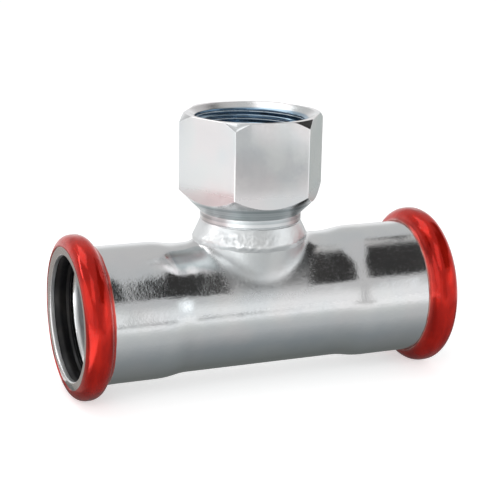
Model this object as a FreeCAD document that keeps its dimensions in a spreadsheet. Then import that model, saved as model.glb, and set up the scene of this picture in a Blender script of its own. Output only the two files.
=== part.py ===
import FreeCAD, Part
import Sketcher
import math
import os

# A press tee of zinc-plated steel for 28 mm pipe, with an internally threaded hexagonal branch.
# Millimetres. X runs along the pipe, Z up the branch, and the two axes cross at the origin.

doc = FreeCAD.newDocument("press_tee")
sizes = doc.addObject("Spreadsheet::Sheet", "sizes")

SIZES = [
    # The pipe that is pushed in, and the tube that holds it.
    ("pipe_radius", 14.0),
    ("pipe_clearance", 0.15),
    ("wall", 1.5),
    # Where the press socket narrows to the middle tube, outside and inside, from the end face.
    ("reduction_start", 21.0),
    ("reduction_length", 4.2),
    ("reduction_drop", 0.79),
    ("reduction_rounding", 11.0),
    ("stop_setback", 1.4),
    ("stop_length", 3.0),
    ("stop_rounding", 2.0),
    # Plain tube between the collar's flare and the reduction, on each side.
    ("plain_left", 2.5),
    ("plain_right", 4.7),
    # The rolled bead at each end, and the lip that closes its groove.
    ("bead_height", 2.89),
    ("bead_back", 5.1),
    ("flank_run", 1.1),
    ("bead_front_rounding", 2.2),
    ("bead_back_rounding", 3.0),
    ("bead_foot_rounding", 0.9),
    ("bead_wall", 1.2),
    ("lip_thickness", 1.1),
    ("lip_clearance", 0.07),
    ("lip_chamfer", 0.25),
    # The drawn collar that carries the branch.
    ("collar_radius", 12.2),
    ("collar_flare", 4.0),
    ("collar_rise", 2.14),
    # The turned socket with its hexagon and pipe thread.
    ("socket_length", 27.5),
    ("hex_flats", 29.7),
    ("hex_turn", -4.4),
    ("hex_under_slope", 1.0),
    ("hex_top_land", 1.22),
    ("hex_top_slope", 1.1),
    ("neck_step", 0.6),
    ("neck_wall", 2.0),
    ("neck_length", 4.9),
    ("mouth_edge", 0.47),
    ("mouth_depth", 1.6),
    ("thread_crest_radius", 12.06),
    ("thread_length", 16.0),
    # The weld that joins the neck to the collar, from the collar's rim up and down.
    ("weld_rise", 2.7),
    ("weld_bulge", 1.0),
    ("weld_bulge_drop", 1.6),
    ("weld_drop", 2.5),
    ("weld_rounding", 0.8),
    # The rubber ring in the bead's groove: a broad rib, a valley and a thin heel rib.
    ("seal_gap", 0.05),
    ("seal_proud", 0.15),
    ("seal_edge_rise", 0.45),
    ("seal_crown_rounding", 1.5),
    ("seal_crown_peak", 0.18),
    ("seal_valley_width", 0.45),
    ("seal_heel_width", 0.6),
    ("seal_rounding", 0.25),
    # The coloured film shrunk over the bead.
    ("film_gap", 0.02),
    ("film_thickness", 0.15),
    ("film_face", 0.1),
    ("film_foot", 0.8),
    # How far the cutting shapes reach past the metal.
    ("overshoot", 1.0),
]

for row, (alias, value) in enumerate(SIZES, start=1):
    sizes.set(f"A{row}", alias)
    sizes.set(f"B{row}", str(value))
    sizes.setAlias(f"B{row}", alias)
doc.recompute()


def origin_plane(body, role):
    return next(f for f in body.Origin.OriginFeatures if f.Role == role)


def new_body(name):
    body = doc.addObject("PartDesign::Body", name)
    body.Label = name
    return body


def new_sketch(body, name, plane, height=None):
    sketch = body.newObject("Sketcher::SketchObject", name)
    sketch.AttachmentSupport = [(origin_plane(body, plane), "")]
    sketch.MapMode = "FlatFace"
    if height is not None:
        sketch.setExpression("AttachmentOffset.Base.z", height)
    return sketch


def bind(sketch, constraint, expression):
    index = sketch.addConstraint(constraint)
    sketch.setExpression(f"Constraints[{index}]", expression)


def number(sketch, expression):
    return float(sketch.evalExpression(expression))


def draw_outline(sketch, corners):
    """A closed outline from its corner points, each (x, y, rounding or None) as expressions."""
    points = []
    radii = []
    for x, y, rounding in corners:
        points.append(FreeCAD.Vector(number(sketch, x), number(sketch, y), 0))
        radii.append(number(sketch, rounding) if rounding else 0.0)
    count = len(points)
    leads = []
    for i, point in enumerate(points):
        back = (points[i - 1] - point).normalize()
        ahead = (points[(i + 1) % count] - point).normalize()
        half = back.getAngle(ahead) / 2
        leads.append(radii[i] / math.tan(half))
    marks = []
    for i, (x, y, rounding) in enumerate(corners):
        mark = sketch.addGeometry(Part.Point(points[i]), True)
        bind(sketch, Sketcher.Constraint("DistanceX", -1, 1, mark, 1, points[i].x), x)
        bind(sketch, Sketcher.Constraint("DistanceY", -1, 1, mark, 1, points[i].y), y)
        marks.append(mark)
    lines = []
    for i in range(count):
        j = (i + 1) % count
        way = (points[j] - points[i]).normalize()
        start = points[i] + way * leads[i]
        end = points[j] - way * leads[j]
        line = sketch.addGeometry(Part.LineSegment(start, end), False)
        lines.append(line)
        for corner, end_of_line in ((i, 1), (j, 2)):
            if corners[corner][2]:
                sketch.addConstraint(Sketcher.Constraint("PointOnObject", marks[corner], 1, line))
            else:
                sketch.addConstraint(
                    Sketcher.Constraint("Coincident", line, end_of_line, marks[corner], 1)
                )
    for i, (x, y, rounding) in enumerate(corners):
        if not rounding:
            continue
        back = (points[i - 1] - points[i]).normalize()
        ahead = (points[(i + 1) % count] - points[i]).normalize()
        middle = (back + ahead).normalize()
        reach = math.hypot(leads[i], radii[i])
        near = points[i] + middle * (reach - radii[i])
        arc = Part.Arc(points[i] + back * leads[i], near, points[i] + ahead * leads[i])
        curve = sketch.addGeometry(arc, False)
        turns_left = back.cross(ahead).z < 0
        first, last = (1, 2) if turns_left else (2, 1)
        sketch.addConstraint(Sketcher.Constraint("Tangent", lines[i - 1], 2, curve, first))
        sketch.addConstraint(Sketcher.Constraint("Tangent", curve, last, lines[i], 1))
        bind(sketch, Sketcher.Constraint("Radius", curve, radii[i]), rounding)


def revolve(body, sketch, name, axis, kind="PartDesign::Revolution"):
    feature = body.newObject(kind, name)
    feature.Profile = sketch
    feature.ReferenceAxis = (sketch, [axis])
    feature.Angle = 360.0
    sketch.Visibility = False
    doc.recompute()
    return feature


def pad_disc(body, name, radius, base, top):
    """A cylinder about the branch's axis between two heights, given as expressions."""
    sketch = new_sketch(body, name + "_outline", "XY_Plane", base)
    circle = sketch.addGeometry(
        Part.Circle(FreeCAD.Vector(0, 0, 0), FreeCAD.Vector(0, 0, 1), number(sketch, radius)),
        False,
    )
    sketch.addConstraint(Sketcher.Constraint("Coincident", circle, 3, -1, 1))
    bind(sketch, Sketcher.Constraint("Radius", circle, number(sketch, radius)), radius)
    pad = body.newObject("PartDesign::Pad", name)
    pad.Profile = sketch
    pad.setExpression("Length", f"({top}) - ({base})")
    doc.recompute()
    return pad


def saddle_edges(shape, branch_radius, run_radius):
    """The names of the edges where the branch's cylinder meets the run's."""
    names = []
    for index, edge in enumerate(shape.Edges, start=1):
        spots = edge.discretize(9)
        on_branch = all(abs(math.hypot(p.x, p.y) - branch_radius) < 0.01 for p in spots)
        on_run = all(abs(math.hypot(p.y, p.z) - run_radius) < 0.01 for p in spots)
        if on_branch and on_run and spots[0].z > 0:
            names.append(f"Edge{index}")
    return names


def round_saddle(body, base, name, branch_radius, run_radius, rounding):
    edges = saddle_edges(base.Shape, number(sizes, branch_radius), number(sizes, run_radius))
    fillet = body.newObject("PartDesign::Fillet", name)
    fillet.Base = (base, edges)
    fillet.setExpression("Radius", rounding)
    doc.recompute()
    return fillet


# Radii and heights that follow from the sizes above.
BORE_RADIUS = "(sizes.pipe_radius + sizes.pipe_clearance)"
LIP_RADIUS = f"({BORE_RADIUS} + sizes.lip_clearance)"
SOCKET_RADIUS = f"({BORE_RADIUS} + sizes.wall)"
BEAD_RADIUS = f"({SOCKET_RADIUS} + sizes.bead_height)"
OUTER_MIDDLE = f"({SOCKET_RADIUS} - sizes.reduction_drop)"
INNER_MIDDLE = f"({BORE_RADIUS} - sizes.reduction_drop)"
RIM_HEIGHT = f"({OUTER_MIDDLE} + sizes.collar_rise)"
BRANCH_HEIGHT = f"({RIM_HEIGHT} + sizes.socket_length)"
NECK_RADIUS = "(sizes.collar_radius - sizes.neck_step)"
MOUTH_RADIUS = "(sizes.hex_flats / 2 - sizes.mouth_edge)"
STOP_START = "(sizes.reduction_start + sizes.stop_setback)"

# Each end's distance from the branch's axis: the collar, its flare, plain tube and the socket.
SOCKET_REACH = "sizes.reduction_length + sizes.reduction_start"
LEFT_REACH = f"(sizes.collar_radius + sizes.collar_flare + sizes.plain_left + {SOCKET_REACH})"
RIGHT_REACH = f"(sizes.collar_radius + sizes.collar_flare + sizes.plain_right + {SOCKET_REACH})"

# The branch is drawn well past its rim before it is trimmed, so its rounding is always whole.
TALL = f"({RIM_HEIGHT} + sizes.collar_flare + sizes.wall + 4 * sizes.overshoot)"

# The bead's flank leans, so a wall measured square to it is this much longer along the run.
FLANK_LENGTH = "sqrt(sizes.bead_height^2 + sizes.flank_run^2)"


def flank_depth(height, outward):
    """How deep the flank lies at a height, moved outwards by a distance square to itself."""
    return (
        f"sizes.bead_back + ({BEAD_RADIUS} - ({height})) * sizes.flank_run / sizes.bead_height"
        f" + ({outward}) * {FLANK_LENGTH} / sizes.bead_height"
    )


def bead_corners(outward):
    """The bead's outer outline from the end face to the tube, moved outwards by a distance."""
    crown = f"{BEAD_RADIUS} + ({outward})"
    tube = f"{SOCKET_RADIUS} + ({outward})"
    return [
        (f"-({outward})", crown, f"sizes.bead_front_rounding + ({outward})"),
        (flank_depth(crown, outward), crown, f"sizes.bead_back_rounding + ({outward})"),
        (flank_depth(tube, outward), tube, f"sizes.bead_foot_rounding - ({outward})"),
    ]


def outside_corners():
    """The tube's outer outline, from an end face to the middle."""
    return (
        [("0", "0", None)]
        + bead_corners("0")
        + [
            ("sizes.reduction_start", SOCKET_RADIUS, "sizes.reduction_rounding"),
            (SOCKET_REACH, OUTER_MIDDLE, "sizes.reduction_rounding"),
        ]
    )


def inside_corners():
    """The tube's inner outline, from past an end face to the middle."""
    crown = f"{BEAD_RADIUS} - sizes.bead_wall"
    return [
        ("-sizes.overshoot", "0", None),
        ("-sizes.overshoot", f"{LIP_RADIUS} + sizes.lip_chamfer", None),
        ("0", f"{LIP_RADIUS} + sizes.lip_chamfer", None),
        ("sizes.lip_chamfer", LIP_RADIUS, None),
        ("sizes.lip_thickness", LIP_RADIUS, None),
        ("sizes.lip_thickness", crown, "sizes.bead_front_rounding - sizes.lip_thickness"),
        (
            flank_depth(crown, "-sizes.bead_wall"),
            crown,
            "sizes.bead_back_rounding - sizes.bead_wall",
        ),
        (
            flank_depth(BORE_RADIUS, "-sizes.bead_wall"),
            BORE_RADIUS,
            "sizes.bead_foot_rounding + sizes.bead_wall",
        ),
        (STOP_START, BORE_RADIUS, "sizes.stop_rounding"),
        (f"{STOP_START} + sizes.stop_length", INNER_MIDDLE, "sizes.stop_rounding"),
    ]


def both_ends(corners):
    """The outline from the left end and, mirrored, from the right, drawn under the run's axis."""
    left = [
        (f"({depth}) - {LEFT_REACH}", f"-({radius})", rounding)
        for depth, radius, rounding in corners
    ]
    right = [
        (f"{RIGHT_REACH} - ({depth})", f"-({radius})", rounding)
        for depth, radius, rounding in corners
    ]
    return left + right[::-1]


def tube_body(name, corners, branch_radius, run_radius, rounding):
    """A shape turned about the run, with a tall branch on it and a rounding where they meet."""
    body = new_body(name)
    sketch = new_sketch(body, name + "_outline", "XZ_Plane")
    draw_outline(sketch, both_ends(corners))
    revolve(body, sketch, name + "_run", "H_Axis")
    branch = pad_disc(body, name + "_branch", branch_radius, "0", TALL)
    round_saddle(body, branch, name + "_flare", branch_radius, run_radius, rounding)
    return body


def trim_rim(body, name):
    """The collar is cut off level at its rim, where the neck is welded on."""
    sketch = new_sketch(body, name + "_outline", "XY_Plane", RIM_HEIGHT)
    reach = "sizes.collar_radius + sizes.collar_flare + sizes.wall"
    circle = sketch.addGeometry(
        Part.Circle(FreeCAD.Vector(0, 0, 0), FreeCAD.Vector(0, 0, 1), number(sketch, reach)),
        False,
    )
    sketch.addConstraint(Sketcher.Constraint("Coincident", circle, 3, -1, 1))
    bind(sketch, Sketcher.Constraint("Radius", circle, number(sketch, reach)), reach)
    pocket = body.newObject("PartDesign::Pocket", name)
    pocket.Profile = sketch
    pocket.Reversed = True
    pocket.setExpression("Length", f"{TALL} - {RIM_HEIGHT} + sizes.overshoot")
    doc.recompute()


# The tee body is one drawn tube: its outside, cut level at the collar's rim, less its inside.
outside = tube_body(
    "tube_outside",
    outside_corners(),
    "sizes.collar_radius",
    OUTER_MIDDLE,
    "sizes.collar_flare",
)
trim_rim(outside, "rim")
inside = tube_body(
    "tube_inside",
    inside_corners(),
    "sizes.collar_radius - sizes.wall",
    INNER_MIDDLE,
    "sizes.collar_flare + sizes.wall",
)
tee = doc.addObject("Part::Cut", "tee_body")
tee.Base = outside
tee.Tool = inside
tee.Label = "tee_body"
doc.recompute()


def groove(body, name, corners):
    sketch = new_sketch(body, name + "_outline", "XZ_Plane")
    draw_outline(sketch, [(x, y, None) for x, y in corners])
    return revolve(body, sketch, name, "V_Axis", "PartDesign::Groove")


def threaded_socket():
    """Turned from hexagonal bar: neck, cone under the hexagon, chamfered top and stepped bore."""
    body = new_body("threaded_socket")
    sketch = new_sketch(body, "bar_outline", "XY_Plane", RIM_HEIGHT)
    corner = "sizes.hex_flats / sqrt(3)"
    draw_outline(
        sketch,
        [
            (
                f"{corner} * cos(sizes.hex_turn + {60 * side})",
                f"{corner} * sin(sizes.hex_turn + {60 * side})",
                None,
            )
            for side in range(6)
        ],
    )
    bar = body.newObject("PartDesign::Pad", "bar")
    bar.Profile = sketch
    bar.setExpression("Length", "sizes.socket_length")
    doc.recompute()
    clear = "(sizes.hex_flats)"
    below = f"{RIM_HEIGHT} - sizes.overshoot"
    above = f"{BRANCH_HEIGHT} + sizes.overshoot"
    neck_top = f"{RIM_HEIGHT} + sizes.neck_length"
    groove(
        body,
        "neck_turning",
        [
            (NECK_RADIUS, below),
            (NECK_RADIUS, neck_top),
            (clear, f"{neck_top} + ({clear} - {NECK_RADIUS}) * sizes.hex_under_slope"),
            (clear, below),
        ],
    )
    land_edge = f"({MOUTH_RADIUS} + sizes.hex_top_land)"
    groove(
        body,
        "top_chamfer",
        [
            (land_edge, BRANCH_HEIGHT),
            (clear, f"{BRANCH_HEIGHT} - ({clear} - {land_edge}) * sizes.hex_top_slope"),
            (clear, above),
            (land_edge, above),
        ],
    )
    thread_bottom = f"{BRANCH_HEIGHT} - sizes.thread_length"
    neck_bore = f"({NECK_RADIUS} - sizes.neck_wall)"
    groove(
        body,
        "bore",
        [
            ("0", below),
            (neck_bore, below),
            (neck_bore, f"{thread_bottom} - (sizes.thread_crest_radius - {neck_bore})"),
            ("sizes.thread_crest_radius", thread_bottom),
            ("sizes.thread_crest_radius", f"{BRANCH_HEIGHT} - sizes.mouth_depth"),
            (MOUTH_RADIUS, BRANCH_HEIGHT),
            (MOUTH_RADIUS, above),
            ("0", above),
        ],
    )
    return body


def weld_seam():
    """The filler round the joint. It takes the collar's form where it lies on it."""
    body = new_body("weld_ring")
    sketch = new_sketch(body, "weld_outline", "YZ_Plane")
    bulge = "sizes.collar_radius + sizes.weld_bulge"
    foot_slope = "(sizes.weld_drop - sizes.weld_bulge_drop) / sizes.weld_bulge"
    draw_outline(
        sketch,
        [
            (NECK_RADIUS, f"{RIM_HEIGHT} - sizes.weld_drop - sizes.neck_step * {foot_slope}", None),
            (NECK_RADIUS, f"{RIM_HEIGHT} + sizes.weld_rise", None),
            (bulge, f"{RIM_HEIGHT} - sizes.weld_bulge_drop", "sizes.weld_rounding"),
        ],
    )
    revolve(body, sketch, "weld_turned", "V_Axis")
    seam = doc.addObject("Part::Cut", "weld_seam")
    seam.Base = body
    seam.Tool = outside
    seam.Refine = False
    seam.Label = "weld_seam"
    return seam


def place_at_end(body, side):
    """Pieces of an end are made with that end's face at x = 0, reaching in along +X."""
    if side == "left":
        body.setExpression("Placement.Base.x", f"-{LEFT_REACH}")
    else:
        turned = FreeCAD.Rotation(FreeCAD.Vector(0, 0, 1), 180)
        body.Placement = FreeCAD.Placement(FreeCAD.Vector(0, 0, 0), turned)
        body.setExpression("Placement.Base.x", RIGHT_REACH)


def seal_ring(side):
    """Moulded rubber that fills the groove, with a crowned rib and a thin heel rib inwards."""
    body = new_body(f"seal_ring_{side}")
    sketch = new_sketch(body, f"seal_outline_{side}", "XZ_Plane")
    gap = "sizes.seal_gap"
    inward = f"-(sizes.bead_wall + {gap})"
    top = f"{BEAD_RADIUS} - sizes.bead_wall - {gap}"
    front = f"sizes.lip_thickness + {gap}"
    inner = f"({BORE_RADIUS} - sizes.seal_proud)"
    edge = f"{inner} + sizes.seal_edge_rise"
    foot_rounding = "(sizes.bead_foot_rounding + sizes.bead_wall)"
    foot = f"{BORE_RADIUS} + {foot_rounding} * (1 - sizes.flank_run / {FLANK_LENGTH})"
    back = flank_depth(foot, inward)
    heel_front = f"{back} - sizes.seal_heel_width"
    valley = f"{heel_front} - sizes.seal_valley_width"
    draw_outline(
        sketch,
        [
            (front, top, "sizes.bead_front_rounding - sizes.lip_thickness"),
            (flank_depth(top, inward), top, "sizes.bead_back_rounding - sizes.bead_wall"),
            (back, foot, "sizes.seal_rounding"),
            (back, inner, "sizes.seal_rounding"),
            (heel_front, inner, "sizes.seal_rounding"),
            (valley, edge, "sizes.seal_rounding"),
            (
                f"(({front}) + ({valley})) / 2",
                f"{inner} - sizes.seal_crown_peak",
                "sizes.seal_crown_rounding",
            ),
            (front, edge, None),
        ],
    )
    revolve(body, sketch, f"seal_turned_{side}", "H_Axis")
    place_at_end(body, side)
    return body


def press_indicator(side):
    """Thin film that follows the bead from its front face to the tube behind it."""
    body = new_body(f"press_indicator_{side}")
    sketch = new_sketch(body, f"film_outline_{side}", "XZ_Plane")
    inner = "sizes.film_gap"
    outer = "(sizes.film_gap + sizes.film_thickness)"
    start = f"{BEAD_RADIUS} - sizes.bead_front_rounding - sizes.film_face"
    reach = f"{flank_depth(SOCKET_RADIUS, '0')} + sizes.film_foot"
    draw_outline(
        sketch,
        [(f"-{inner}", start, None)]
        + bead_corners(inner)
        + [(reach, f"{SOCKET_RADIUS} + {inner}", None)]
        + [(reach, f"{SOCKET_RADIUS} + {outer}", None)]
        + bead_corners(outer)[::-1]
        + [(f"-{outer}", start, None)],
    )
    revolve(body, sketch, f"film_turned_{side}", "H_Axis")
    place_at_end(body, side)
    return body


nodes = [tee, threaded_socket(), weld_seam()]
for end in ("left", "right"):
    nodes.append(seal_ring(end))
    nodes.append(press_indicator(end))
doc.recompute()

for item in doc.Objects:
    if {"Invalid", "Error"} & set(item.State):
        raise RuntimeError(f"{item.Name} failed: {item.State}")
for node in nodes:
    if node.Shape.isNull() or not node.Shape.isValid():
        raise RuntimeError(f"{node.Label} has no valid shape")

os.makedirs("parts", exist_ok=True)
for node in nodes:
    node.Shape.exportStep(f"parts/{node.Label}.step")
    print(node.Label, len(node.Shape.Solids), round(node.Shape.Volume, 2))
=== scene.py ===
import math

import bmesh
import bpy
from mathutils import Matrix, Vector, noise


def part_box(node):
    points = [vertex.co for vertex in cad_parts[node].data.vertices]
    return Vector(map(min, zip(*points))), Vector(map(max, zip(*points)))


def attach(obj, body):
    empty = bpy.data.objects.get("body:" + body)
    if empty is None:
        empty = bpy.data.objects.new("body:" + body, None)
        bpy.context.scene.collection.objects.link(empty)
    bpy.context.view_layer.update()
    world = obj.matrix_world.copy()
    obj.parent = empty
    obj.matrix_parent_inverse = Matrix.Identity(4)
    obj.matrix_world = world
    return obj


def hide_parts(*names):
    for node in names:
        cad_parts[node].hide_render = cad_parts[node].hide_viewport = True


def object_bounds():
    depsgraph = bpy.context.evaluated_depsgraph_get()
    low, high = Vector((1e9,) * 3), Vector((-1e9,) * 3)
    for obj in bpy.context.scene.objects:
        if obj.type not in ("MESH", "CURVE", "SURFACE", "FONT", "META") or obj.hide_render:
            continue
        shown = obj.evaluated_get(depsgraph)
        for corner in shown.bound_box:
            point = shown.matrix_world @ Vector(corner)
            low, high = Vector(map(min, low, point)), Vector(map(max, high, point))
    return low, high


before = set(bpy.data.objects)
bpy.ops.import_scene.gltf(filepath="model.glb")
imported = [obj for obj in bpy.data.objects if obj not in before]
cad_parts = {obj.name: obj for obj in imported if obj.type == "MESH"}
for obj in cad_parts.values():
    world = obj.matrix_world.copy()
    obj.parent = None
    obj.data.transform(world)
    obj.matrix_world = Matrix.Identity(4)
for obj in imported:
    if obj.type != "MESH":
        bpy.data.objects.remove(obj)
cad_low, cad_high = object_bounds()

bpy.ops.object.select_all(action="DESELECT")


# Tee body: one short tube of drawn steel. Its ends are rolled into beads, its middle is necked
# down, and the collar for the branch is drawn up out of its wall, so the wall flows through the
# flare with one thickness. The whole fitting is zinc plated once it is welded together.
MM = 0.001
left_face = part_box("tee_body")[0].x
right_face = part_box("tee_body")[1].x
wall = 1.5 * MM
bore_radius = 14.15 * MM
socket_radius = bore_radius + wall
bead_height = 2.89 * MM
bead_radius = socket_radius + bead_height
bead_back = 5.1 * MM
flank_run = 1.1 * MM
bead_front = 2.5 * MM
bead_rear = 3.5 * MM
bead_foot = 0.9 * MM
bead_wall = 1.2 * MM
groove_front = 2.2 * MM
groove_rear = 3.0 * MM
lip_thickness = 1.1 * MM
lip_radius = 14.22 * MM
lip_chamfer = 0.25 * MM
lip_corner = 0.12 * MM
lip_edge = 0.1 * MM
stop_start = 22.4 * MM
stop_end = 25.4 * MM
stop_rounding = 2.0 * MM
middle_radius = 14.86 * MM
inner_radius = middle_radius - wall
roll_rise = 0.10 * MM
roll_end = 9.2 * MM
roll_rounding = 40.0 * MM
reduction_start = 21.0 * MM
reduction_end = 25.2 * MM
reduction_rounding = 20.0 * MM
collar_radius = 12.2 * MM
collar_flare = 4.8 * MM
collar_ease = 3.4 * MM
rim_height = 17.0 * MM
hole_reach = 17.4 * MM
hole_columns = 24
hole_turns = 34
tube_turns = 192


def rounded(corners, steps=None):
    """Points along a line of corners, each (x, y, rounding), where a rounding becomes an arc."""
    spots = [Vector(corner[:2]) for corner in corners]
    halves = [None] * len(corners)
    reach = [0.0] * len(corners)
    for i, corner in enumerate(corners):
        if corner[2]:
            halves[i] = (spots[i - 1] - spots[i]).angle(spots[i + 1] - spots[i]) / 2
            reach[i] = corner[2] / math.tan(halves[i])
    for i in range(len(corners) - 1):
        room = 0.98 * (spots[i + 1] - spots[i]).length
        share = min(1.0, room / max(reach[i] + reach[i + 1], room))
        reach[i] *= share
        reach[i + 1] *= share
    points = []
    for i, corner in enumerate(spots):
        if not reach[i]:
            points.append(corner)
            continue
        back = (spots[i - 1] - corner).normalized()
        ahead = (spots[i + 1] - corner).normalized()
        centre = corner + (back + ahead).normalized() * reach[i] / math.cos(halves[i])
        start = corner + back * reach[i] - centre
        swept = math.copysign(math.pi - 2 * halves[i], -back.cross(ahead))
        count = steps or max(3, math.ceil(abs(swept) / math.radians(7)))
        for k in range(count + 1):
            points.append(centre + Matrix.Rotation(swept * k / count, 2) @ start)
    return points


def flank_depth(radius, outward=0.0):
    """How far from the end face the bead's back flank lies at a radius, moved square to itself."""
    slant = math.hypot(bead_height, flank_run) / bead_height
    return bead_back + (bead_radius - radius) * flank_run / bead_height + outward * slant


def end_wall(middle_depth):
    """Half the tube's wall as depths and radii: in along the inside, round the lip, and out."""
    groove = bead_radius - bead_wall
    return rounded(
        [
            (middle_depth, inner_radius, None),
            (stop_end, inner_radius, stop_rounding),
            (stop_start, bore_radius, stop_rounding),
            (flank_depth(bore_radius, -bead_wall), bore_radius, bead_foot + bead_wall),
            (flank_depth(groove, -bead_wall), groove, groove_rear - bead_wall),
            (lip_thickness, groove, groove_front - lip_thickness),
            (lip_thickness, lip_radius, lip_corner),
            (lip_chamfer, lip_radius, lip_edge),
            (0, lip_radius + lip_chamfer, lip_edge),
            (0, bead_radius, bead_front),
            (bead_back, bead_radius, bead_rear),
            (flank_depth(socket_radius + roll_rise), socket_radius + roll_rise, bead_foot),
            (roll_end, socket_radius, roll_rounding),
            (reduction_start, socket_radius, reduction_rounding),
            (reduction_end, middle_radius, reduction_rounding),
            (middle_depth, middle_radius, None),
        ]
    )


def closed_outline(name, points):
    """A circle of as many points as the outline has, drawn to its form in the XZ plane."""
    bpy.ops.mesh.primitive_circle_add(vertices=len(points), fill_type="NOTHING")
    outline = bpy.context.active_object
    outline.name = outline.data.name = name
    for vertex, (x, z) in zip(outline.data.vertices, points):
        vertex.co = (x, 0, z)
    return outline


def turned(outline, axis, turns):
    """Spins the outline once round an axis through the origin and closes the seam."""
    bpy.ops.object.mode_set(mode="EDIT")
    bpy.ops.mesh.select_all(action="SELECT")
    bpy.ops.mesh.spin(steps=turns, angle=math.tau, center=(0, 0, 0), axis=axis)
    bpy.ops.mesh.select_all(action="SELECT")
    bpy.ops.mesh.remove_doubles(threshold=0.001 * MM)
    bpy.ops.mesh.normals_make_consistent(inside=False)
    bpy.ops.object.mode_set(mode="OBJECT")


left_wall = [(left_face + d, -r) for d, r in end_wall(-hole_reach - left_face)]
right_wall = [(right_face - d, -r) for d, r in end_wall(right_face - hole_reach)]
columns = [hole_reach * (2 * k / hole_columns - 1) for k in range(1, hole_columns)]
tee_tube = closed_outline(
    "tee_tube",
    left_wall
    + [(x, -middle_radius) for x in columns]
    + right_wall[::-1]
    + [(-x, -inner_radius) for x in columns],
)
turned(tee_tube, (1, 0, 0), tube_turns)


def from_top(point):
    """The turn round the run's axis from straight up."""
    return math.atan2(point.y, point.z)


def open_hole(tube):
    """Cuts the patch of both walls that the collar is drawn from."""
    widest = math.tau * hole_turns / tube_turns
    bpy.ops.object.mode_set(mode="EDIT")
    bpy.ops.mesh.select_mode(type="FACE")
    bpy.ops.mesh.select_all(action="DESELECT")
    mesh = bmesh.from_edit_mesh(tube.data)
    for face in mesh.faces:
        middle = face.calc_center_median()
        face.select_set(abs(from_top(middle)) < widest and abs(middle.x) < hole_reach)
    bpy.ops.mesh.delete(type="FACE")


def flare_climb(turn, run, branch, rounding, rows):
    """From the flare's foot on the run, round the flare and up to the collar's rim, at a turn."""
    rounding += collar_ease * math.sin(turn) ** 2
    reach = branch + rounding
    centre = Vector((reach * math.cos(turn), reach * math.sin(turn), 0))
    centre.z = math.sqrt((run + rounding) ** 2 - centre.y**2)
    to_run = Vector((0, -centre.y, -centre.z)).normalized()
    to_branch = Vector((-centre.x, -centre.y, 0)).normalized()
    whole = to_run.angle(to_branch)
    foot = centre + to_run * rounding
    end = centre + to_branch * rounding
    corner = centre + (to_run + to_branch).normalized() * rounding / math.cos(whole / 2)
    light, firm = 0.42, 0.84
    pull = [foot, foot.lerp(corner, light), foot.lerp(corner, firm)]
    pull += [end.lerp(corner, firm), end.lerp(corner, light), end]

    def on_flare(turned_by):
        """The point on the eased curve that the pull points draw, so far round from the foot."""
        line = pull
        while len(line) > 1:
            line = [a.lerp(b, turned_by / whole) for a, b in zip(line, line[1:])]
        return line[0]

    # Where the flare would climb past the rim, halving finds the bend that ends at the rim.
    bend = whole
    if centre.z > rim_height:
        low = 0.0
        for _ in range(30):
            middle = (low + bend) / 2
            if on_flare(middle).z < rim_height:
                low = middle
            else:
                bend = middle
    straight = max(0.0, rim_height - centre.z)
    length = rounding * bend + straight
    climb = []
    for k in range(rows + 1):
        gone = length * k / rows
        over = max(0.0, gone - rounding * bend)
        climb.append(on_flare(min(gone / rounding, bend)) + Vector((0, 0, over)))
    return climb


def draw_collar(tube, run, branch, rounding):
    """Extrudes the hole's edge row by row: over the run to the flare's foot, then up to the rim."""
    approach_rows = 4
    flare_rows = 18
    mesh = bmesh.from_edit_mesh(tube.data)
    for edge in mesh.edges:
        on_wall = all(abs(math.hypot(v.co.y, v.co.z) - run) < wall / 4 for v in edge.verts)
        edge.select_set(edge.is_boundary and on_wall)
    climbs = {}
    for vertex in [v for v in mesh.verts if v.select]:
        foot = vertex.co
        turn = math.atan2(foot.y, foot.x)
        climb = flare_climb(turn, run, branch, rounding, flare_rows)
        approach = []
        for k in range(1, approach_rows):
            middle = foot.lerp(climb[0], k / approach_rows)
            lift = run / math.hypot(middle.y, middle.z)
            approach.append(Vector((middle.x, middle.y * lift, middle.z * lift)))
        climbs[foot.to_tuple(6)] = approach + climb
    bpy.ops.mesh.select_mode(type="EDGE")
    for row in range(approach_rows + flare_rows):
        bpy.ops.mesh.extrude_edges_move()
        mesh = bmesh.from_edit_mesh(tube.data)
        moved = {}
        for vertex in [v for v in mesh.verts if v.select]:
            climb = climbs[vertex.co.to_tuple(6)]
            vertex.co = climb[row]
            moved[vertex.co.to_tuple(6)] = climb
        climbs = moved
        bmesh.update_edit_mesh(tube.data)


open_hole(tee_tube)
draw_collar(tee_tube, middle_radius, collar_radius, collar_flare)
bpy.ops.mesh.select_all(action="DESELECT")
draw_collar(tee_tube, inner_radius, collar_radius - wall, collar_flare + wall)
bpy.ops.mesh.select_all(action="DESELECT")
bpy.ops.mesh.select_non_manifold()
bpy.ops.mesh.bridge_edge_loops()
bpy.ops.mesh.select_all(action="SELECT")
bpy.ops.mesh.normals_make_consistent(inside=False)
bpy.ops.object.mode_set(mode="OBJECT")
bpy.ops.object.shade_smooth_by_angle(angle=math.radians(28))


def node(tree, kind, inputs=None, **settings):
    """A node with its settings, and its inputs set to values or linked from other nodes' outputs."""
    made = tree.nodes.new(f"ShaderNode{kind}")
    for name, value in settings.items():
        setattr(made, name, value)
    for name, value in (inputs or {}).items():
        if isinstance(value, bpy.types.NodeSocket):
            tree.links.new(value, made.inputs[name])
        else:
            made.inputs[name].default_value = value
    return made


def millimetres(tree, stretch=(1, 1, 1)):
    """The place on the object in millimetres, stretched along its axes."""
    place = node(tree, "TexCoord").outputs["Object"]
    scale = [1000 * s for s in stretch]
    return node(tree, "Mapping", {"Vector": place, "Scale": scale}).outputs["Vector"]


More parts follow.
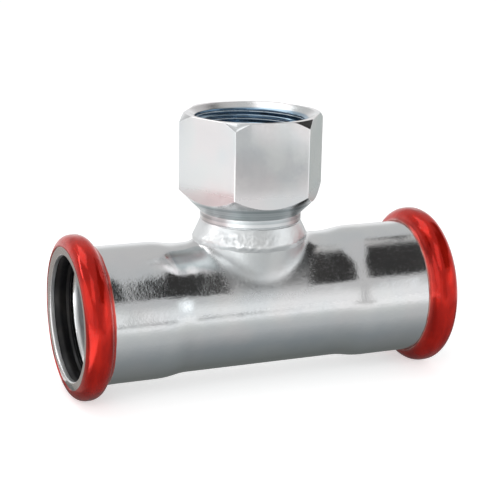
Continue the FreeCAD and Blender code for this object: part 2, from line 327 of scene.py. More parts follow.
def grain(tree, place, scale, detail=2.0, roughness=0.5):
    """Noise from 0 to 1 with a middle of 0.5, at a scale of so many grains to the millimetre."""
    inputs = {"Vector": place, "Scale": scale, "Detail": detail, "Roughness": roughness}
    return node(tree, "TexNoise", inputs).outputs["Fac"]


def spread(tree, value, low, high, to_low=0.0, to_high=1.0):
    """A value between two marks, spread smoothly between two others."""
    inputs = {"Value": value, "From Min": low, "From Max": high}
    inputs |= {"To Min": to_low, "To Max": to_high}
    return node(tree, "MapRange", inputs, interpolation_type="SMOOTHSTEP").outputs["Result"]


def calculate(tree, operation, a, b):
    """One sum with two values."""
    return node(tree, "Math", {0: a, 1: b}, operation=operation).outputs["Value"]


def off_axis(tree, a, b):
    """The distance from an axis, given the two coordinates across it."""
    flat = node(tree, "CombineXYZ", {"X": a, "Y": b}).outputs["Vector"]
    return node(tree, "VectorMath", {0: flat}, operation="LENGTH").outputs["Value"]


def blended(tree, share, first, second, mode="MIX"):
    """Two colours mixed by a share."""
    mix = node(tree, "Mix", {0: share, 6: first, 7: second}, data_type="RGBA", blend_type=mode)
    return mix.outputs[2]


def zinc_plating():
    """Bright zinc: faint tints of its passivation, cloudy gloss, fine crystals and soft dents."""
    group = bpy.data.node_groups.new("zinc_plating", "ShaderNodeTree")
    for name in ("Tint", "Dullness", "Crystals", "Dents"):
        group.interface.new_socket(name, in_out="INPUT", socket_type="NodeSocketFloat")
    for name, kind in (("Color", "Color"), ("Roughness", "Float"), ("Height", "Float")):
        group.interface.new_socket(name, in_out="OUTPUT", socket_type=f"NodeSocket{kind}")
    given = group.nodes.new("NodeGroupInput").outputs
    place = millimetres(group)
    clouds = grain(group, place, 0.12, 3.0)
    warm = spread(group, grain(group, place, 0.07, 2.0), 0.42, 0.62)
    crystals = grain(group, place, 2.2, 2.5, 0.6)
    dents = grain(group, place, 0.30, 2.0)
    cloudy = spread(group, clouds, 0.3, 0.7)
    cool = blended(group, cloudy, (0.69, 0.715, 0.73, 1), (0.735, 0.75, 0.75, 1))
    tinted = blended(group, warm, cool, (0.78, 0.745, 0.75, 1))
    colour = blended(group, given["Tint"], cool, tinted)
    haze = spread(group, clouds, 0.35, 0.7, 0.0, 0.05)
    fleck = spread(group, crystals, 0.3, 0.7, 0.0, 0.04)
    rough = calculate(group, "ADD", given["Dullness"], calculate(group, "ADD", haze, fleck))
    fine = calculate(group, "MULTIPLY", crystals, given["Crystals"])
    coarse = calculate(group, "MULTIPLY", dents, given["Dents"])
    result = group.nodes.new("NodeGroupOutput").inputs
    group.links.new(colour, result["Color"])
    group.links.new(rough, result["Roughness"])
    group.links.new(calculate(group, "ADD", fine, coarse), result["Height"])
    return group


zinc = zinc_plating()


def plated_steel(name, tint, dullness, crystals, dents):
    """A material with the plating, its relief in millimetres. Returns its shader and height too."""
    material = bpy.data.materials.new(name)
    material.use_nodes = True
    tree = material.node_tree
    shader = tree.nodes["Principled BSDF"]
    plating = node(tree, "Group", node_tree=zinc)
    given = {"Tint": tint, "Dullness": dullness, "Crystals": crystals, "Dents": dents}
    for socket, value in given.items():
        plating.inputs[socket].default_value = value
    shader.inputs["Metallic"].default_value = 1.0
    tree.links.new(plating.outputs["Color"], shader.inputs["Base Color"])
    tree.links.new(plating.outputs["Roughness"], shader.inputs["Roughness"])
    return material, shader, plating.outputs["Height"]


def raised(tree, shader, height):
    """Bump of a height in millimetres."""
    bump = node(tree, "Bump", {"Height": height, "Distance": MM, "Strength": 1.0})
    tree.links.new(bump.outputs["Normal"], shader.inputs["Normal"])


tube_zinc, shader, relief = plated_steel(
    "tube_zinc", tint=0.35, dullness=0.080, crystals=0.018, dents=0.04
)
tree = tube_zinc.node_tree
raised(tree, shader, relief)
xyz = node(tree, "SeparateXYZ", {"Vector": millimetres(tree)}).outputs
# The plating is duller in the bore and, round the collar, where drawing stretched the steel. Below
# the weld the collar's colour is darkened: painted shade. The marks are in millimetres.
bore_skin = (14.3, 14.45)
collar_reach = (11.0, 14.5)
painted_shade_heights = (7.0, 12.0)
stretched_heights = (2.0, 7.0)
inside = spread(tree, off_axis(tree, xyz["Y"], xyz["Z"]), *bore_skin, 1.0, 0.0)
off_weld = off_axis(tree, xyz["X"], calculate(tree, "MULTIPLY", xyz["Y"], 0.6))
near_weld = spread(tree, off_weld, *collar_reach, 1.0, 0.0)
collar_painted_shade = calculate(tree, "MULTIPLY", near_weld, spread(tree, xyz["Z"], *painted_shade_heights))
stretched = calculate(tree, "MULTIPLY", near_weld, spread(tree, xyz["Z"], *stretched_heights))
flecks = spread(tree, grain(tree, millimetres(tree), 1.6, 3.0, 0.6), 0.50, 0.66)
plating = shader.inputs["Base Color"].links[0].from_socket
# Painted shade: the collar's colour is darkened below the weld.
painted_shade_colour = blended(tree, collar_painted_shade, plating, (0.72, 0.73, 0.73, 1), "MULTIPLY")
tree.links.new(painted_shade_colour, shader.inputs["Base Color"])
rough = shader.inputs["Roughness"].links[0].from_socket
for mask, added in ((inside, 0.26), (stretched, 0.20), (flecks, 0.09)):
    rough = calculate(tree, "ADD", rough, calculate(tree, "MULTIPLY", mask, added))
tree.links.new(rough, shader.inputs["Roughness"])
tee_tube.data.materials.append(tube_zinc)
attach(tee_tube, "root")
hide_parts("tee_body")


# Threaded socket: turned and bored from hexagonal steel bar. The hexagon is chamfered on top and
# coned underneath, down to a round neck, and a parallel pipe thread is tapped into its bore.
hex_flats = 29.7 * MM
hex_turn = math.radians(-4.4)
half_side = math.radians(30)
hex_edge = 0.20 * MM
branch_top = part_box("threaded_socket")[1].z
top_land = 15.6 * MM
top_slope = 1.1
edge_rounding = 0.14 * MM
mouth_radius = 14.38 * MM
mouth_slope = 1.6 / 2.32
neck_radius = 11.6 * MM
neck_top = 21.9 * MM
neck_bore = 9.6 * MM
undercut = 19.9 * MM
undercut_depth = 0.25 * MM
thread_crest = 12.06 * MM
thread_root = 13.22 * MM
thread_pitch = 1.814 * MM
thread_top = 43.8 * MM
thread_bottom = 28.5 * MM
hexagon_middle = thread_top - 8 * MM
side_columns = 40
bar_columns = 6 * side_columns


def rolled_sheet(name, columns, rows, form):
    """A sheet of rows and columns rolled to a form, and joined where its edges meet."""
    bpy.ops.mesh.primitive_grid_add(x_subdivisions=columns, y_subdivisions=rows - 1)
    sheet = bpy.context.active_object
    sheet.name = sheet.data.name = name
    for vertex in sheet.data.vertices:
        row, column = divmod(vertex.index, columns + 1)
        vertex.co = form(column, row)
    close_seams(sheet)
    return sheet


def close_seams(piece):
    """Joins the edges that meet, and turns every face outwards."""
    bpy.ops.object.mode_set(mode="EDIT")
    bpy.ops.mesh.select_all(action="SELECT")
    bpy.ops.mesh.remove_doubles(threshold=0.002 * MM)
    bpy.ops.mesh.normals_make_consistent(inside=False)
    bpy.ops.object.mode_set(mode="OBJECT")


def around(turn, radius, height):
    """The place at a turn and a distance round the branch's axis."""
    return Vector((radius * math.cos(turn), radius * math.sin(turn), height))


def bar_turn(column, share):
    """A column's turn: even at share 0, and gathered towards the hexagon's edges at share 1."""
    side, step = divmod(column, side_columns)
    way = 2 * step / side_columns - 1
    even = half_side * way
    gathered = half_side * math.sin(math.pi / 2 * way)
    return hex_turn + math.radians(60) * side + half_side + even + (gathered - even) * share


def hex_reach(column):
    """How far the hexagon reaches at a column, with its upright edges slightly rounded."""
    off_middle = (bar_turn(column % side_columns, 1) - hex_turn) - half_side
    off_edge = half_side - abs(off_middle)
    centre = (hex_flats / 2 - hex_edge) / math.cos(half_side)
    if math.tan(off_edge) < hex_edge / 2 / (centre + hex_edge * math.cos(half_side)):
        inside = centre * math.sin(off_edge)
        return centre * math.cos(off_edge) + math.sqrt(hex_edge**2 - inside**2)
    return hex_flats / 2 / math.cos(off_middle)


def mouth_reach(height):
    """The radius of the mouth's countersink at a height."""
    return mouth_radius - (branch_top - height) / mouth_slope


def bar_outline(reach):
    """The socket's outside at one turn, from its foot up over the top and into the mouth."""
    land = min(top_land, reach - 0.06 * MM)
    cone = [neck_radius + (reach - neck_radius) * k / 4 for k in range(1, 4)]
    return rounded(
        [
            (neck_bore, rim_height, None),
            (neck_radius, rim_height, 0.1 * MM),
            (neck_radius, undercut - undercut_depth, 0.05 * MM),
            (neck_radius - undercut_depth, undercut, 0.12 * MM),
            (neck_radius, undercut + undercut_depth, 0.1 * MM),
            (neck_radius, neck_top, 0.3 * MM),
            *[(radius, neck_top + radius - neck_radius, None) for radius in cone],
            (reach, neck_top + reach - neck_radius, edge_rounding),
            (reach, branch_top - (reach - land) * top_slope, edge_rounding),
            (land, branch_top, edge_rounding),
            (mouth_radius, branch_top, 0.12 * MM),
            (mouth_reach(thread_top), thread_top, None),
        ],
        steps=4,
    )


bar_outlines = [bar_outline(hex_reach(column)) for column in range(side_columns + 1)]


def on_bar(column, row):
    """The outside's point at a column and row, gathered towards the edges where it is hexagonal."""
    radius, height = bar_outlines[column % side_columns][row]
    inner = neck_radius if height < hexagon_middle else mouth_radius
    share = (radius - inner) / (hex_flats / 2 - inner)
    return around(bar_turn(column, min(1.0, max(0.0, share))), radius, height)


def thread_form():
    """One pitch of the thread from root to root: rounded Whitworth form, as heights and radii."""
    sharp_height = 0.960491 * thread_pitch
    beyond = (sharp_height - (thread_root - thread_crest)) / 2
    rounding = 0.137329 * thread_pitch
    corners = [
        ((k - 1) / 2 * thread_pitch, (thread_root + beyond, thread_crest - beyond)[k % 2], rounding)
        for k in range(-1, 4)
    ]
    corners[0] = corners[0][:2] + (None,)
    corners[-1] = corners[-1][:2] + (None,)
    form = rounded(corners, steps=6)
    half = 0.501 * thread_pitch
    return [(z, r) for z, r in form[1:-1] if -half < z < half]


one_pitch = thread_form()
pitch_rows = len(one_pitch) - 1
thread_turns = math.ceil((thread_top - thread_bottom) / thread_pitch) + 2


def on_thread(column, row):
    """The thread's point: it climbs one pitch a turn, runs out below and ends at the countersink."""
    lap, step = divmod(row, pitch_rows)
    rise, radius = one_pitch[step]
    climb = lap - 1 + column / bar_columns
    height = thread_bottom + rise + climb * thread_pitch
    height = min(max(height, thread_bottom), thread_top)
    runout = min(1.0, (height - thread_bottom) / (1.5 * thread_pitch))
    radius = thread_crest + (radius - thread_crest) * runout
    radius = max(radius, mouth_reach(height))
    return around(hex_turn + math.tau * column / bar_columns, radius, height)


drilled = [
    (thread_crest, thread_bottom),
    (neck_bore, thread_bottom - (thread_crest - neck_bore)),
    (neck_bore, rim_height),
]


def on_drilled(column, row):
    """The bore below the thread: the drill's cone and the neck's hole."""
    return around(hex_turn + math.tau * column / bar_columns, *drilled[row])


socket_bar = rolled_sheet("socket_bar", bar_columns, len(bar_outlines[0]), on_bar)
thread = rolled_sheet("thread", bar_columns, thread_turns * pitch_rows, on_thread)
neck_hole = rolled_sheet("neck_hole", bar_columns, len(drilled), on_drilled)
bpy.ops.object.select_all(action="DESELECT")
for sheet in (neck_hole, thread, socket_bar):
    sheet.select_set(True)
bpy.context.view_layer.objects.active = socket_bar
bpy.ops.object.join()
close_seams(socket_bar)
bpy.ops.object.shade_smooth_by_angle(angle=math.radians(30))
socket_zinc, shader, relief = plated_steel(
    "socket_zinc", tint=0.7, dullness=0.09, crystals=0.001, dents=0.005
)
tree = socket_zinc.node_tree
xyz = node(tree, "SeparateXYZ", {"Vector": millimetres(tree)}).outputs
across = off_axis(tree, xyz["X"], xyz["Y"])
# The lathe mask takes in what lies inside the flats' circle or on the cone under them: all the
# turned faces but the hexagon's chamfered corners. The marks are in millimetres.
cone_level = (neck_top - neck_radius) / MM
off_cone = calculate(tree, "SUBTRACT", calculate(tree, "SUBTRACT", xyz["Z"], across), cone_level)
off_flats = calculate(tree, "SUBTRACT", across, hex_flats / 2 / MM - 0.05)
off_turned = calculate(tree, "MINIMUM", off_flats, off_cone)
lathe = spread(tree, off_turned, 0.0, 0.05, 1.0, 0.0)
section = node(tree, "CombineXYZ", {"X": across, "Z": xyz["Z"]}).outputs["Vector"]
ring_lines = grain(tree, section, 1.6, 1.0, 0.5)
rings = calculate(tree, "MULTIPLY", ring_lines, lathe)
drawn = grain(tree, millimetres(tree, (1, 1, 0.06)), 0.5, 2.0)
ring_relief = calculate(tree, "MULTIPLY", rings, 0.018)
drawn_relief = calculate(tree, "MULTIPLY", drawn, 0.006)
marks = calculate(tree, "ADD", ring_relief, drawn_relief)
raised(tree, shader, calculate(tree, "ADD", relief, marks))
# Painted shade: the tapped bore is darkened to a blue grey and the cone under the hexagon is
# darkened. Dark turning lines run round the underside.
in_thread = spread(tree, across, 13.1, 13.3, 1.0, 0.0)
bored = calculate(tree, "MULTIPLY", in_thread, spread(tree, xyz["Z"], 25.0, 27.0))
bore_painted_shade = calculate(tree, "MULTIPLY", bored, spread(tree, xyz["Z"], 43.2, 43.6, 1.0, 0.0))
plating = shader.inputs["Base Color"].links[0].from_socket
underside = calculate(tree, "MULTIPLY", lathe, spread(tree, xyz["Z"], 24.5, 26.5, 1.0, 0.0))
cone_painted_shade = calculate(tree, "MULTIPLY", underside, spread(tree, xyz["Z"], 21.8, 22.3))
painted_shade_and_lines = blended(tree, calculate(tree, "MULTIPLY", cone_painted_shade, 0.55), plating, (0.36, 0.42, 0.43, 1))
lined = calculate(tree, "MULTIPLY", underside, spread(tree, ring_lines, 0.46, 0.60))
painted_shade_and_lines = blended(tree, lined, painted_shade_and_lines, (0.66, 0.70, 0.71, 1), "MULTIPLY")
painted_shade_and_lines = blended(tree, bore_painted_shade, painted_shade_and_lines, (0.34, 0.45, 0.55, 1))
tree.links.new(painted_shade_and_lines, shader.inputs["Base Color"])
rough = shader.inputs["Roughness"].links[0].from_socket
# The flats' feet and the underside are duller than the rest, and the mouth is a little duller.
scuffed = spread(tree, xyz["Z"], 26.0, 30.0, 0.24, 0.05)
drawn_flat = calculate(tree, "MULTIPLY", calculate(tree, "SUBTRACT", 1.0, lathe), scuffed)
turned_mouth = calculate(tree, "MULTIPLY", lathe, spread(tree, xyz["Z"], 42.0, 43.0, 0.0, 0.08))
duller = calculate(tree, "ADD", drawn_flat, calculate(tree, "MULTIPLY", underside, 0.22))
duller = calculate(tree, "ADD", duller, turned_mouth)
tree.links.new(calculate(tree, "ADD", rough, duller), shader.inputs["Roughness"])
socket_bar.data.materials.append(socket_zinc)
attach(socket_bar, "root")
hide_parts("threaded_socket")


# Weld: one run of filler laid round the joint of neck and collar. It is fuller on one side, runs
# down onto the flare, and keeps the ripples of the arc where it was laid slowest.
weld_top = 19.7 * MM
weld_columns = 360
weld_rows = 22
weld_buried = 0.3 * MM
foot_buried = 0.5 * MM
ripple_turn = math.radians(-122)
edge_rows = 60


def collar_edge(turn, down):
    """The place on the collar's outside that lies a distance down the flare from the rim."""
    climb = flare_climb(turn, middle_radius, collar_radius, collar_flare, edge_rows)[::-1]
    for upper, lower in zip(climb, climb[1:]):
        step = (upper - lower).length
        if down <= step:
            return upper.lerp(lower, down / step)
        down -= step
    return climb[-1]


def uneven(turn, scale, seed):
    """Smooth unevenness from -1 to 1 that meets itself after a whole turn."""
    return noise.noise(Vector((math.cos(turn) * scale, math.sin(turn) * scale, seed)))


def along(line, share):
    """The point at a share of a line's length."""
    steps = [(b - a).length for a, b in zip(line, line[1:])]
    gone = share * sum(steps)
    for a, b, step in zip(line, line[1:], steps):
        if gone <= step:
            return a.lerp(b, gone / step)
        gone -= step
    return line[-1]


def weld_section(turn):
    """The seam's closed outline at one turn: its skin from neck to collar, then back inside."""
    down = 2.15 + 0.15 * abs(math.sin(turn)) + 0.15 * uneven(turn, 4, 3.0)
    foot = collar_edge(turn, down * MM)
    foot_turn = math.atan2(foot.y, foot.x)
    foot_radius = math.hypot(foot.x, foot.y)
    top = weld_top + 0.05 * MM * uneven(turn, 5, 1.0)
    swell = 0.26 - 0.10 * math.cos(turn) + 0.45 * abs(math.sin(turn))
    swell = (swell + 0.10 * uneven(turn, 3, 5.0)) * MM
    shoulder = 0.74 + 0.06 * uneven(turn, 5, 8.0)
    line = rounded(
        [
            (neck_radius, top, None),
            (
                neck_radius + (foot_radius - neck_radius) * shoulder + swell,
                top + (foot.z - top) * shoulder,
                1.2 * MM,
            ),
            (foot_radius, foot.z, None),
        ]
    )
    turning = (foot_turn - turn + math.pi) % math.tau - math.pi
    arc = max(0.0, math.cos(turn - ripple_turn)) ** 8
    skin = []
    for k in range(weld_rows + 1):
        share = k / weld_rows
        radius, height = along(line, share)
        ripple = noise.noise(Vector((turn * 11 + share * 2, share * 4, 9.0)))
        ripple += 0.5 * noise.noise(Vector((turn * 25, share * 7, 2.0)))
        radius += (0.05 + 0.20 * arc) * MM * ripple * math.sin(math.pi * share)
        skin.append(around(turn + turning * share, radius, height))
    buried = [
        around(foot_turn, foot_radius - foot_buried, foot.z),
        around(turn, neck_radius - weld_buried, rim_height + 0.2 * MM),
        around(turn, neck_radius - weld_buried, top - 0.1 * MM),
    ]
    return skin + buried + skin[:1]


weld_turns = [math.tau * column / weld_columns for column in range(weld_columns)]
weld_sections = [weld_section(turn) for turn in weld_turns]


def on_weld(column, row):
    """The seam's point at a column and row."""
    return weld_sections[column % weld_columns][row]


weld_bead = rolled_sheet("weld_bead", weld_columns, len(weld_sections[0]), on_weld)
bpy.ops.object.shade_smooth_by_angle(angle=math.radians(40))
weld_zinc, shader, relief = plated_steel(
    "weld_zinc", tint=0.1, dullness=0.34, crystals=0.02, dents=0.08
)
raised(weld_zinc.node_tree, shader, relief)
weld_bead.data.materials.append(weld_zinc)
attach(weld_bead, "root")
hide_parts("weld_seam")


# Seal rings: moulded black rubber, one in the groove of each bead. Each has a broad crowned rib
# that the pipe squeezes and a thin heel rib behind it, and stays in by its own spring.
seal_gap = 0.05 * MM
seal_inner = bore_radius - 0.15 * MM
seal_edge = seal_inner + 0.45 * MM
seal_foot = 15.3 * MM
seal_turns = 160
heel_width = 0.6 * MM
heel_rounding = 0.28 * MM
valley_setback = 1.05 * MM
crown_peak = 0.18 * MM
crown_rounding = 1.5 * MM


def seal_outline(face, inward):
    """The ring's section: its back follows the groove, and its ribs stand in towards the pipe."""
    top = bead_radius - bead_wall - seal_gap
    front = lip_thickness + seal_gap
    back = flank_depth(seal_foot, -bead_wall - seal_gap)
    valley = back - valley_setback
    section = rounded(
        [
            (front, seal_edge, None),
            (front, top, groove_front - lip_thickness),
            (flank_depth(top, -bead_wall - seal_gap), top, groove_rear - bead_wall),
            (back, seal_foot, 0.25 * MM),
            (back, seal_inner, heel_rounding),
            (back - heel_width, seal_inner, heel_rounding),
            (valley, seal_edge, 0.2 * MM),
            ((front + valley) / 2, seal_inner - crown_peak, crown_rounding),
            (front + 0.1 * MM, seal_edge - 0.1 * MM, 0.05 * MM),
            (front, seal_edge, None),
        ]
    )[:-1]
    return [(face + inward * depth, -radius) for depth, radius in section]


seal_rubber = bpy.data.materials.new("seal_rubber")
seal_rubber.use_nodes = True
tree = seal_rubber.node_tree
shader = tree.nodes["Principled BSDF"]
place = millimetres(tree)
bloom = spread(tree, grain(tree, place, 0.25, 3.0), 0.45, 0.75)
black = blended(tree, bloom, (0.004, 0.004, 0.005, 1), (0.012, 0.011, 0.010, 1))
tree.links.new(black, shader.inputs["Base Color"])
dullness = spread(tree, grain(tree, place, 0.9, 3.0), 0.3, 0.7, 0.30, 0.46)
tree.links.new(dullness, shader.inputs["Roughness"])
shader.inputs["Specular IOR Level"].default_value = 0.25
raised(tree, shader, calculate(tree, "MULTIPLY", grain(tree, place, 3.0, 2.0), 0.01))
for side, face, inward in (("left", left_face, 1), ("right", right_face, -1)):
    seal = closed_outline(f"rubber_ring_{side}", seal_outline(face, inward))
    turned(seal, (1, 0, 0), seal_turns)
    bpy.ops.object.shade_smooth_by_angle(angle=math.radians(40))
    seal.data.materials.append(seal_rubber)
    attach(seal, "root")
    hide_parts(f"seal_ring_{side}")


# Press indicators: a thin red film shrunk over each bead from its face to the tube behind it. The
# jaws of the press tool tear it off, so a bead that still wears one has not been pressed.
film_gap = 0.02 * MM
film_thickness = 0.15 * MM
film_face = 0.1 * MM
film_foot = 0.8 * MM
film_foot_rounding = 1.5 * MM
film_columns = 240
film_rows = 40


def bead_line(outward):
    """The way over the bead, from its face to the tube, at a distance outside the metal."""
    crown = bead_radius + outward
    tube = socket_radius + roll_rise + outward
    return rounded(
        [
            (-outward, bead_radius - bead_front - film_face, None),
            (-outward, crown, bead_front + outward),
            (flank_depth(crown, outward), crown, bead_rear + outward),
            (flank_depth(tube, outward), tube, film_foot_rounding),
            (flank_depth(socket_radius) + film_foot, tube, None),
        ]
    )


skins = [bead_line(film_gap + film_thickness), bead_line(film_gap)]


def film_points(face, inward, seed):
    """A function that places the film's rows: out along its outer skin and back along its inner."""

    def on_film(column, row):
        turn = math.tau * (column % film_columns) / film_columns
        first = 0.004 + 0.012 * (1 + uneven(turn, 5, seed))
        first += 0.10 * max(0.0, math.sin(turn)) ** 2
        last = 1 - 0.004 - 0.014 * (1 + uneven(turn, 6, seed + 7))
        step = row % (2 * film_rows)
        skin, share = (0, step) if step < film_rows else (1, 2 * film_rows - 1 - step)
        depth, radius = along(skins[skin], first + (last - first) * share / (film_rows - 1))
        return Vector((face + inward * depth, radius * math.sin(turn), radius * math.cos(turn)))

    return on_film


red_film = bpy.data.materials.new("red_film")
red_film.use_nodes = True
tree = red_film.node_tree
shader = tree.nodes["Principled BSDF"]
place = millimetres(tree)
xyz = node(tree, "SeparateXYZ", {"Vector": place}).outputs
streaks = grain(tree, millimetres(tree, (1, 0.35, 0.35)), 0.35, 3.0)
deep_red = (0.42, 0.009, 0.004, 1)
bright_red = (0.58, 0.015, 0.006, 1)
red = blended(tree, spread(tree, streaks, 0.35, 0.65), deep_red, bright_red)
from_left = calculate(tree, "SUBTRACT", xyz["X"], left_face / MM)
from_right = calculate(tree, "SUBTRACT", right_face / MM, xyz["X"])
from_face = calculate(tree, "MINIMUM", from_left, from_right)
# Towards its back edge the film is paled, a painted sheen, and at the edge itself it is worn thin in
# patches.
thinned = spread(tree, from_face, 6.55, 6.95)
patches = spread(tree, grain(tree, place, 0.5), 0.35, 0.6, 0.25, 0.9)
thinned = calculate(tree, "MULTIPLY", thinned, patches)
# Painted sheen: the film's colour is paled towards its back edge.
painted_sheen = blended(tree, spread(tree, from_face, 5.6, 6.9, 0.0, 0.18), red, (0.62, 0.30, 0.27, 1))
tree.links.new(blended(tree, thinned, painted_sheen, (0.72, 0.42, 0.36, 1)), shader.inputs["Base Color"])
tree.links.new(spread(tree, streaks, 0.3, 0.7, 0.14, 0.24), shader.inputs["Roughness"])
shader.inputs["Metallic"].default_value = 0.62
shader.inputs["Coat Weight"].default_value = 0.25
shader.inputs["Coat Roughness"].default_value = 0.08
shader.inputs["Specular IOR Level"].default_value = 0.15
folds = grain(tree, millimetres(tree, (1, 0.6, 0.6)), 0.35, 2.0)
wrinkles = calculate(tree, "MULTIPLY", folds, 0.22)
skin = calculate(tree, "MULTIPLY", grain(tree, place, 1.6, 2.0), 0.008)
raised(tree, shader, calculate(tree, "ADD", wrinkles, skin))
for side, face, inward, seed in (("left", left_face, 1, 0.3), ("right", right_face, -1, 4.1)):
    on_film = film_points(face, inward, seed)
    film = rolled_sheet(f"red_film_{side}", film_columns, 2 * film_rows + 1, on_film)
    bpy.ops.object.shade_smooth_by_angle(angle=math.radians(40))
    film.data.materials.append(red_film)
    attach(film, "root")
    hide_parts(f"press_indicator_{side}")


# Setting: a plain pale floor under the fitting, three soft lamps and a pale room round it, a few
# cards that only reflections see, and the camera.
floor_seen = 0.52
floor_mirrored = 0.34
bpy.ops.mesh.primitive_plane_add(size=6, location=(0, 0, cad_low.z))
floor = bpy.context.active_object
floor.name = "floor"
floor_paint = bpy.data.materials.new("floor_paint")
floor_paint.use_nodes = True
tree = floor_paint.node_tree
paint = tree.nodes["Principled BSDF"]
paint.inputs["Base Color"].default_value = (0.80, 0.80, 0.80, 1)
paint.inputs["Roughness"].default_value = 0.9
paint.inputs["Specular IOR Level"].default_value = 0.0
ray = node(tree, "LightPath").outputs
mirrored = calculate(tree, "MAXIMUM", ray["Is Glossy Ray"], ray["Is Transmission Ray"])
seen = calculate(tree, "MULTIPLY", ray["Is Camera Ray"], floor_seen)
seen = calculate(tree, "MAXIMUM", seen, calculate(tree, "MULTIPLY", mirrored, floor_mirrored))
lift = node(tree, "Emission", {"Strength": seen})
both = node(tree, "AddShader", {0: paint.outputs[0], 1: lift.outputs[0]})
tree.links.new(both.outputs[0], tree.nodes["Material Output"].inputs["Surface"])
floor.data.materials.append(floor_paint)


def card(name, corners, colour):
    """A flat glowing card, given by its corners, that only reflections see."""
    mesh = bpy.data.meshes.new(name)
    mesh.from_pydata(corners, [], [range(len(corners))])
    made = bpy.data.objects.new(name, mesh)
    bpy.context.scene.collection.objects.link(made)
    material = bpy.data.materials.new(name)
    material.use_nodes = True
    tree = material.node_tree
    glow = node(tree, "Emission", {"Color": (*colour, 1), "Strength": 1.0})
    tree.links.new(glow.outputs[0], tree.nodes["Material Output"].inputs["Surface"])
    mesh.materials.append(material)
    for ray_kind in ("camera", "diffuse", "shadow", "transmission", "volume_scatter"):
        setattr(made, f"visible_{ray_kind}", False)
    return tree, glow


def on_floor(low, high, lift=0.0003):
    """The corners of a card that lies on the floor."""
    z = cad_low.z + lift
    corners = (low, (high[0], low[1]), high, (low[0], high[1]))
    return [(x, y, z) for x, y in corners]


def off_middle(tree, middle, reach, turn=0.0):
    """The distance from a card's middle, as a share of its reach each way."""
    place = node(tree, "TexCoord").outputs["Object"]
    inputs = {"Vector": place, "Location": middle, "Rotation": (0, 0, turn), "Scale": reach}
    place = node(tree, "Mapping", inputs, vector_type="TEXTURE").outputs["Vector"]
    return node(tree, "VectorMath", {0: place}, operation="LENGTH").outputs["Value"]


def lamp(name, centre, power):
    """A soft square lamp that faces the fitting."""
    data = bpy.data.lights.new(name, "AREA")
    data.shape = "SQUARE"
    data.size = lamp_side
    data.energy = power
    made = bpy.data.objects.new(name, data)
    bpy.context.scene.collection.objects.link(made)
    way = (Vector() - Vector(centre)).normalized()
    facing = way.to_track_quat("-Z", "Y").to_matrix().to_4x4()
    made.matrix_world = Matrix.Translation(centre) @ facing
    return made


overhead_corners = [
    (0.160, -0.174, 0.504),
    (0.138, -0.237, 0.490),
    (0.134, -0.342, 0.433),
    (0.138, -0.384, 0.405),
    (0.142, -0.486, 0.342),
    (0.252, -0.404, 0.279),
    (0.313, -0.351, 0.248),
    (0.388, -0.163, 0.282),
    (0.592, 0.099, 0.228),
    (0.592, 0.359, 0.378),
    (0.290, 0.228, 0.605),
    (0.215, -0.013, 0.542),
]
tree, glow = card("overhead_card", overhead_corners, (1.0, 0.98, 0.96))
xyz = node(tree, "SeparateXYZ", {"Vector": millimetres(tree)}).outputs
paler = spread(tree, xyz["Y"], -20.0, 140.0, 0.0, 0.58)
paler = calculate(tree, "MULTIPLY", paler, spread(tree, xyz["X"], 300.0, 335.0, 1.0, 0.0))
tree.links.new(calculate(tree, "ADD", paler, 0.040), glow.inputs["Strength"])
# Painted shadow: this card under the tube darkens towards the fitting, and the tube's underside
# mirrors it.
tree, glow = card("painted_shadow_card", on_floor((-0.055, -0.10), (0.12, 0.01)), (1, 1, 1))
depth = node(tree, "SeparateXYZ", {"Vector": millimetres(tree)}).outputs["Y"]
shade = node(tree, "ValToRGB", {"Fac": calculate(tree, "DIVIDE", depth, -100.0)})
stops = shade.color_ramp.elements
for element, (position, colour) in zip(
    [stops[0], stops[1], *(stops.new(0.5) for _ in range(3))],
    (
        (0.05, (0.15, 0.16, 0.155, 1)),
        (1.0, (0.95, 0.95, 0.94, 1)),
        (0.18, (0.27, 0.29, 0.30, 1)),
        (0.34, (0.53, 0.54, 0.545, 1)),
        (0.65, (0.70, 0.71, 0.705, 1)),
    ),
):
    element.position = position
    element.color = colour
tree.links.new(shade.outputs["Color"], glow.inputs["Color"])
tree, glow = card("far_card", on_floor((-0.10, -0.50), (0.22, -0.10)), (1, 1, 1))
off = off_middle(tree, (0.060, -0.285, 0), (0.072, 0.185, 1), math.radians(15))
tree.links.new(spread(tree, off, 0.45, 1.0, 0.52, 1.08), glow.inputs["Strength"])
left_corners = [
    (-0.45, -0.40, 0.0),
    (-0.45, 0.12, 0.0),
    (-0.45, 0.12, 0.28),
    (-0.45, -0.40, 0.28),
]
card("left_card", left_corners, (1.5, 1.5, 1.5))
card("side_card", on_floor((0.08, 0.07), (0.36, 0.36)), (0.50, 0.53, 0.52))
end_corners = on_floor((-0.135, -0.012), (-0.0466, 0.175), 0.0006)
card("end_card", end_corners, (0.40, 0.362, 0.338))
card("left_floor_card", on_floor((-0.26, -0.16), (-0.058, 0.0)), (2.3, 2.3, 2.3))
spot_corners = [
    (0.40, -0.68, 0.02),
    (0.70, -0.42, 0.02),
    (0.70, -0.42, 0.34),
    (0.40, -0.68, 0.34),
]
tree, glow = card("spot_card", spot_corners, (1.0, 1.02, 1.03))
off = off_middle(tree, (0.55, -0.55, 0.18), (0.19, 0.19, 0.16))
tree.links.new(spread(tree, off, 0.25, 1.0, 1.6, 0.97), glow.inputs["Strength"])
front_corners = [
    (-0.13, -0.40, -0.015),
    (0.085, -0.40, -0.015),
    (0.085, -0.40, 0.19),
    (-0.13, -0.40, 0.19),
]
card("front_card", front_corners, (0.57, 0.57, 0.57))
upper_left_corners = [
    (-0.30, -0.30, 0.27),
    (-0.13, -0.42, 0.27),
    (0.03, -0.21, 0.47),
    (-0.14, -0.09, 0.47),
]
card("upper_left_card", upper_left_corners, (1.6, 1.6, 1.6))
right_corners = [
    (0.38, -0.39, 0.24),
    (0.52, -0.21, 0.24),
    (0.55, -0.23, 0.08),
    (0.41, -0.42, 0.08),
]
card("right_card", right_corners, (1.5, 1.5, 1.5))
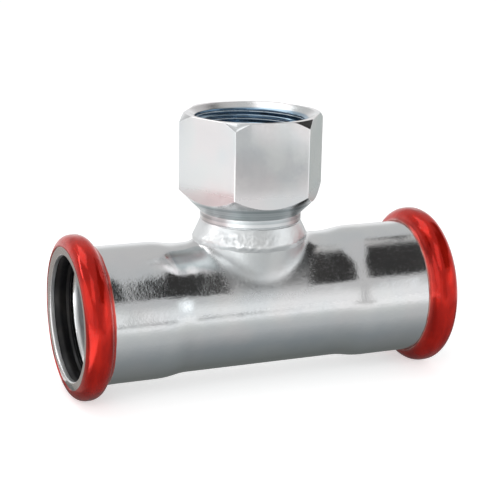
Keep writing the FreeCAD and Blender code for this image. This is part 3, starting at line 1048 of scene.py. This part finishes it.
film_corners = [
    (-0.47, 0.159, 0.180),
    (-0.47, 0.101, 0.220),
    (-0.30, 0.211, 0.380),
    (-0.30, 0.269, 0.340),
]
card("film_card", film_corners, (5.0, 5.0, 5.0))
lamp_side = 0.4
key_power = 0.65
fill_power = 1.9
lamp("key", (-0.175, 0.21, 0.585), key_power)
for name, centre in (("fill_left", (-0.40, -0.55, 0.35)), ("fill_right", (0.62, -0.66, 0.20))):
    lamp(name, centre, fill_power).visible_glossy = False

scene = bpy.context.scene
scene.view_settings.view_transform = "Standard"
camera_data = bpy.data.cameras.new("camera")
camera = bpy.data.objects.new("camera", camera_data)
scene.collection.objects.link(camera)
scene.camera = camera
camera_data.lens = 105.26
camera_azimuth = math.radians(-22.657)
camera_elevation = math.radians(15.161)
camera_roll = math.radians(1.139)
camera_distance = 338.766 * MM
camera_target = Vector((-0.016 * MM, 0, 12.147 * MM))
away = Vector(
    (
        math.sin(camera_azimuth) * math.cos(camera_elevation),
        -math.cos(camera_azimuth) * math.cos(camera_elevation),
        math.sin(camera_elevation),
    )
)
level = Vector((math.cos(camera_azimuth), math.sin(camera_azimuth), 0))
upright = away.cross(level)
rightward = math.cos(camera_roll) * level + math.sin(camera_roll) * upright
upward = math.cos(camera_roll) * upright - math.sin(camera_roll) * level
camera.matrix_world = Matrix.Translation(camera_target + camera_distance * away) @ (
    Matrix((rightward, upward, away)).transposed().to_4x4()
)

world = bpy.data.worlds.new("studio")
scene.world = world
world.use_nodes = True
tree = world.node_tree
way = node(tree, "TexCoord").outputs["Generated"]
rise = node(tree, "SeparateXYZ", {"Vector": way}).outputs["Z"]
room = spread(tree, rise, 0.10, 0.45, 1.0, 0.62)
ray = node(tree, "LightPath").outputs
mirrored = calculate(tree, "MAXIMUM", ray["Is Glossy Ray"], ray["Is Transmission Ray"])
room_light = 0.60
light = node(tree, "Mix", {"Factor": mirrored, "A": room_light, "B": room}).outputs["Result"]
shown = calculate(tree, "MAXIMUM", light, ray["Is Camera Ray"])
tree.links.new(shown, tree.nodes["Background"].inputs["Strength"])
tree.nodes["Background"].inputs["Color"].default_value = (1, 1, 1, 1)
